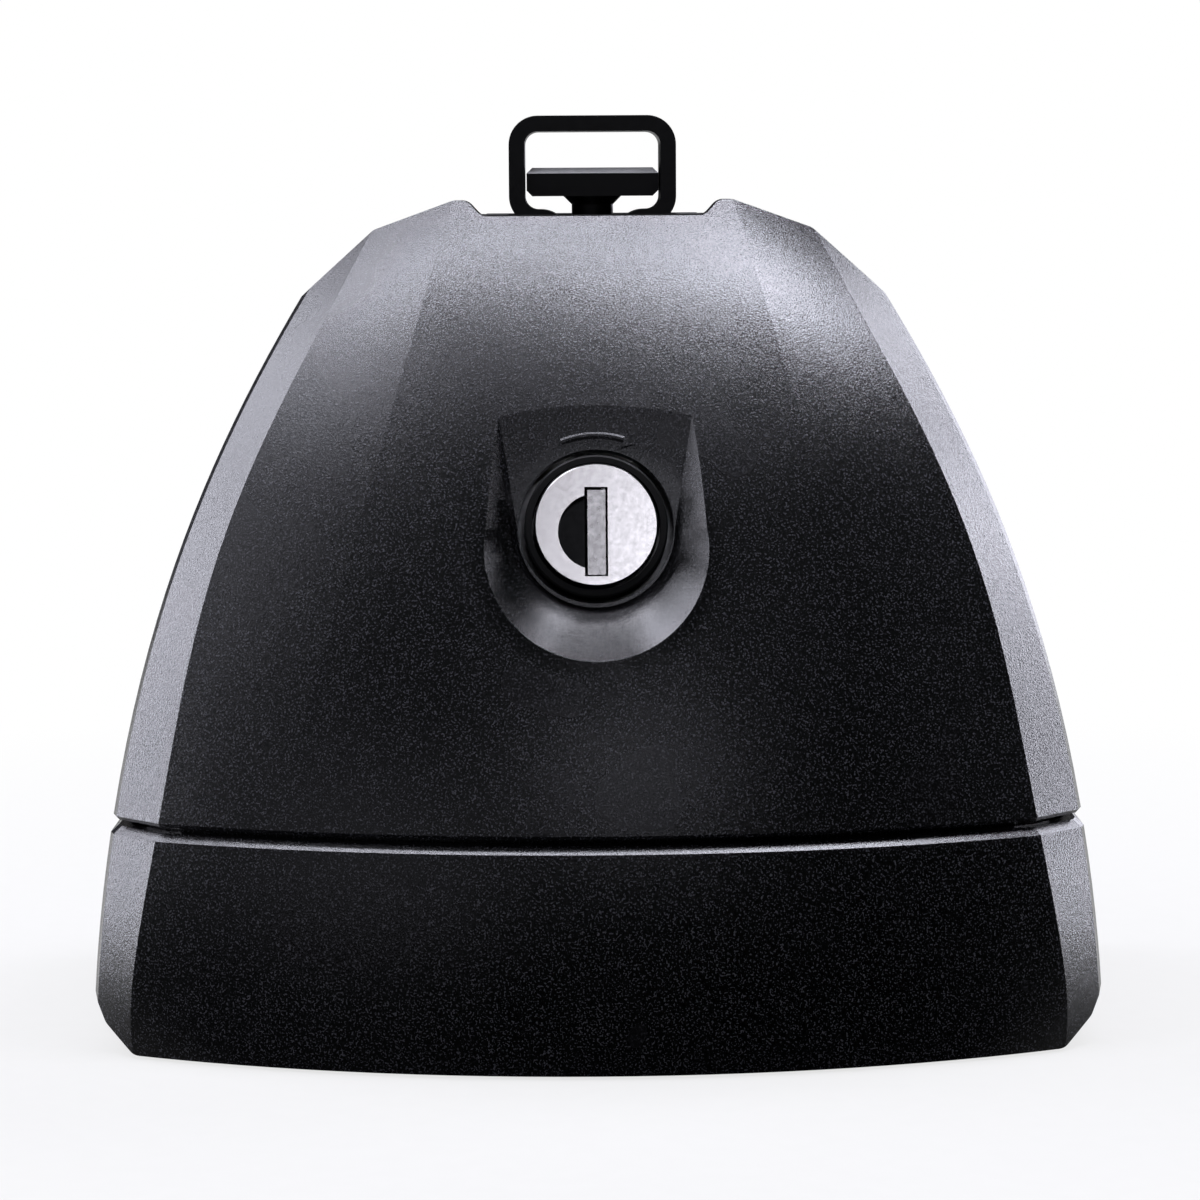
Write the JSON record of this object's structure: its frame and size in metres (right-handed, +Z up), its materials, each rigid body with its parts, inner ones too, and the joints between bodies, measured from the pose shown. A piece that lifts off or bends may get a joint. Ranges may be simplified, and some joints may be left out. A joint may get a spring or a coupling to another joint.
{
  "type": "roof bar foot",
  "caption": "Lockable roof bar foot: flared black housing with a pull-off locked front cover and a strip loop with hammer-head bolt on top that clamps into the slot of a bar.",
  "frame": {"origin": "on the roof plane under the middle of the foot", "axes": "+X along the car, +Y from the locked front along the bar, +Z up"},
  "size_m": [0.1362, 0.0861, 0.1254],
  "materials": {
    "cover_plastic": "fine spark-eroded grain, black",
    "body_plastic": "fine spark-eroded grain, black",
    "pad_rubber": "matt black rubber",
    "coated_steel": "black coated steel",
    "plated_steel": "zinc plated",
    "lock_metal": "satin nickel plated",
    "lock_cast": "die-cast, plain",
    "lock_ring": "black, smooth",
    "lock_brass": "plain brass"
  },
  "bodies": {
    "foot": {"foot_body": "body_plastic", "roof_pad": "pad_rubber", "base_plate": "plated_steel", "bracket_rivets": "plated_steel", "support_bracket": "plated_steel", "saddle_pad": "pad_rubber", "bar_loop": "coated_steel", "rocker_pin": "plated_steel", "pin_clip": "plated_steel", "screw_anchor": "plated_steel", "screw_washer": "plated_steel"},
    "cover": {"front_cover": "cover_plastic", "lock_housing": "lock_cast", "lock_screws": "plated_steel", "lock_bezel": "lock_ring"},
    "lock": {"lock_plug": "lock_brass", "lock_wafers": "lock_brass", "lock_face": "lock_metal", "lock_cam": "plated_steel", "cam_screw": "plated_steel"},
    "shutter": {"key_shutter": "lock_metal"},
    "rocker": {"rocker_lever": "plated_steel"},
    "bolt": {"t_bolt": "coated_steel", "t_bolt_pin": "plated_steel"},
    "nut": {"barrel_nut": "plated_steel"},
    "screw": {"tension_screw": "plated_steel"}
  },
  "joints": [
    {"name": "cover_pull", "type": "slide", "parent": "foot", "child": "cover", "axis": [0, -1, 0], "range_m": [0, 0.09]},
    {"name": "lock_turn", "type": "hinge", "parent": "cover", "child": "lock", "pos_m": [0, -0.0224, 0.0704], "axis": [0, 0.9744, -0.225], "range_deg": [0, 90]},
    {"name": "shutter_swing", "type": "hinge", "parent": "lock", "child": "shutter", "pos_m": [0.00105, -0.02289, 0.06959], "axis": [0, -0.225, -0.9744], "range_deg": [0, 70], "stiffness_Nm_per_rad": 0.001},
    {"name": "rocker_tilt", "type": "hinge", "parent": "foot", "child": "rocker", "pos_m": [0, 0.0065, 0.072], "axis": [-1, 0, 0], "range_deg": [0, 6.7]},
    {"name": "bolt_draw", "type": "slide", "parent": "foot", "child": "bolt", "axis": [0, 0, -1], "range_m": [0, 0.0014]},
    {"name": "nut_draw", "type": "slide", "parent": "foot", "child": "nut", "axis": [0, -1, 0], "range_m": [0, 0.0029]},
    {"name": "screw_turn", "type": "hinge", "parent": "foot", "child": "screw", "pos_m": [0, -0.02, 0.048], "axis": [0, 1, 0], "range_deg": [0, 1011]}
  ],
  "couplings": [
    {"joint": "bolt_draw", "follows": "rocker_tilt", "m_per_rad": 0.0115},
    {"joint": "nut_draw", "follows": "rocker_tilt", "m_per_rad": 0.024},
    {"joint": "screw_turn", "follows": "rocker_tilt", "ratio": 150.8}
  ]
}
